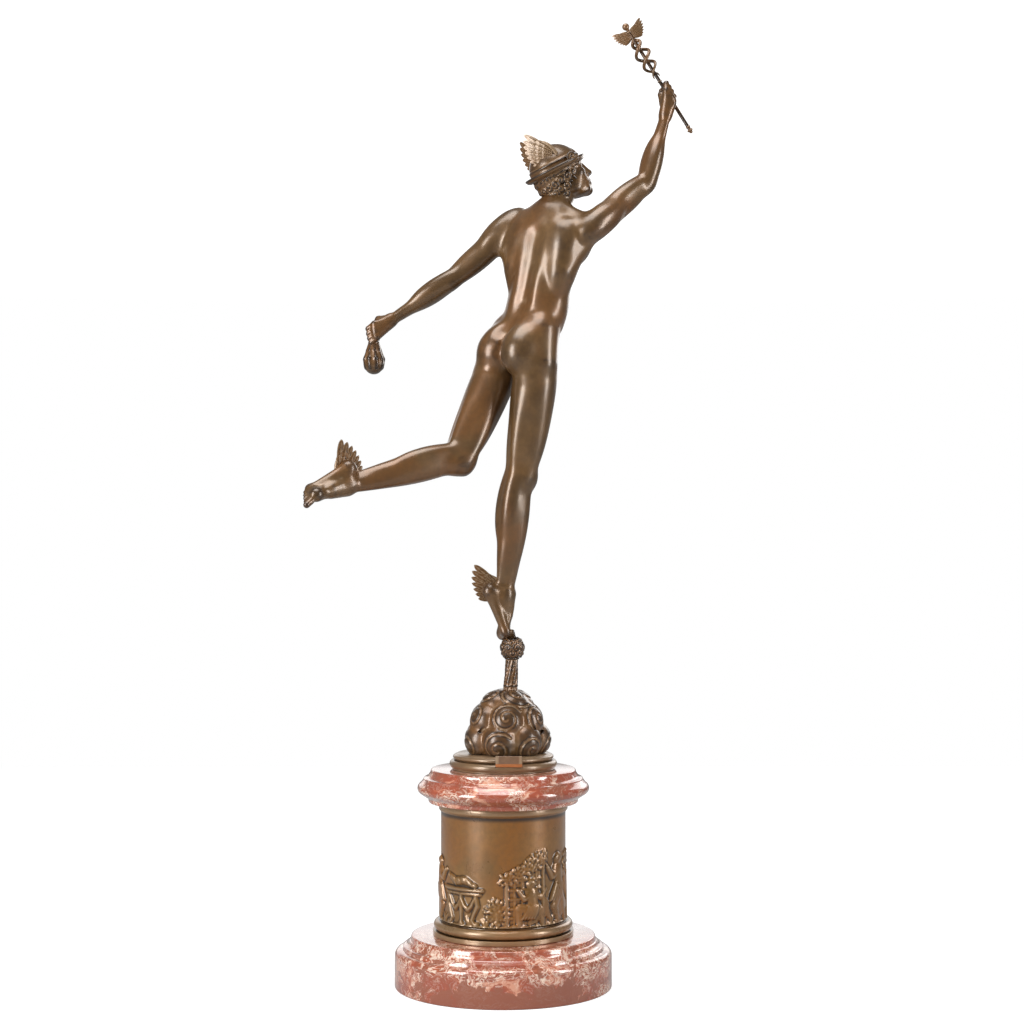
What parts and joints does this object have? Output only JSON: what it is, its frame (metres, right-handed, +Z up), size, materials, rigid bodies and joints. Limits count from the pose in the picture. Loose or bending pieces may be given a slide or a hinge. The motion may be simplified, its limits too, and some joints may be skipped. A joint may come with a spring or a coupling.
{
  "type": "classical statuette",
  "caption": "Statuette of a running winged messenger god with a raised herald's staff, on a cloud mound, a drum with low relief and turned stone rings.",
  "frame": {"origin": "middle of the round underside of the stone base", "axes": "+Z up through the pedestal's axis, +X the way the runner goes, +Y away from the side of the picture"},
  "size_m": [0.3395, 0.1916, 0.8606],
  "materials": {
    "brown_bronze": "glossy dark brown patina with golden brown highlights",
    "drum_bronze": "satin golden brown patina, darker in the relief",
    "red_marble": "polished red stone with cream veins"
  },
  "bodies": {
    "root": {"marble_base": "red_marble", "relief_drum": "drum_bronze", "marble_collar": "red_marble", "bronze_plinth": "brown_bronze", "blank_tag": "brown_bronze", "cloud_mound": "brown_bronze", "runner": "brown_bronze", "herald_staff": "brown_bronze"}
  },
  "joints": []
}
